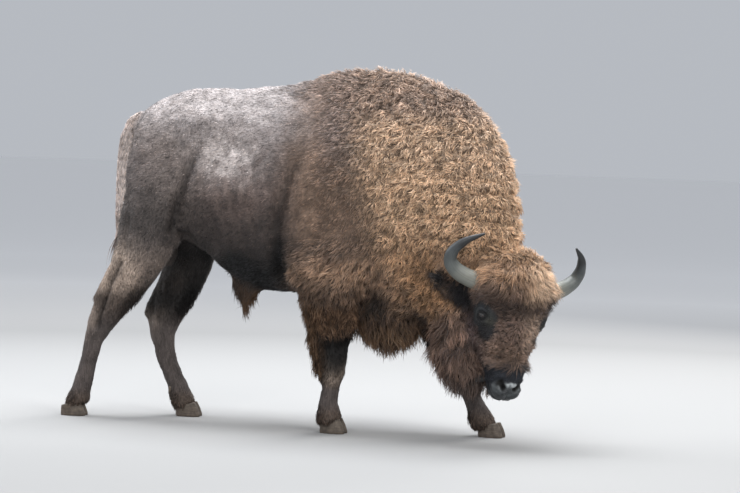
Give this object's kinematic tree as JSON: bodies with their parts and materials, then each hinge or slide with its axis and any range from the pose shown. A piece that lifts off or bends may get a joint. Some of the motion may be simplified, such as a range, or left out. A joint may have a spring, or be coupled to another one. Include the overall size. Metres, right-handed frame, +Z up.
{
  "type": "european bison",
  "caption": "Life-size still model of a European bison bull, walking with its shaggy head lowered and turned to its right.",
  "frame": {"origin": "on the floor under the middle of the whole animal's bounding box", "axes": "+Z up; +X forward, the way the trunk points along the floor to within 16 degrees; +Y to the animal's left"},
  "size_m": [2.6296, 1.1856, 1.834],
  "materials": {
    "short coat": "short close hair, grey-brown",
    "dark coat": "dark brown hair",
    "mane hair": "long curled golden-brown hair",
    "bare nose": "moist bare skin",
    "horn": "horn, satin",
    "hoof": "horn, matt",
    "eye": "wet and glossy"
  },
  "bodies": {
    "root": {"abdomen": "short coat", "beard": "mane hair", "brisket_mane": "dark coat", "claw_left_fore_inner": "hoof", "claw_left_fore_outer": "hoof", "claw_left_hind_inner": "hoof", "claw_left_hind_outer": "hoof", "claw_right_fore_inner": "hoof", "claw_right_fore_outer": "hoof", "claw_right_hind_inner": "hoof", "claw_right_hind_outer": "hoof", "dewclaw_left_fore_inner": "hoof", "dewclaw_left_fore_outer": "hoof", "dewclaw_left_hind_inner": "hoof", "dewclaw_left_hind_outer": "hoof", "dewclaw_right_fore_inner": "hoof", "dewclaw_right_fore_outer": "hoof", "dewclaw_right_hind_inner": "hoof", "dewclaw_right_hind_outer": "hoof", "ear_left": "mane hair", "ear_right": "mane hair", "eye_left": "eye", "eye_right": "eye", "fore_cannon_left_fore": "dark coat", "fore_cannon_right_fore": "dark coat", "forearm_left_fore": "dark coat", "forearm_right_fore": "dark coat", "gaskin_left_hind": "dark coat", "gaskin_right_hind": "dark coat", "head": "mane hair", "hind_cannon_left_hind": "dark coat", "hind_cannon_right_hind": "dark coat", "horn_left": "horn", "horn_right": "horn", "muzzle": "bare nose", "neck": "mane hair", "pastern_left_fore": "dark coat", "pastern_left_hind": "dark coat", "pastern_right_fore": "dark coat", "pastern_right_hind": "dark coat", "rump": "short coat", "scrotum": "dark coat", "sheath": "dark coat", "tail_dock": "dark coat", "tail_switch": "dark coat", "thigh_left_hind": "short coat", "thigh_right_hind": "short coat", "thorax": "short coat"}
  },
  "joints": []
}
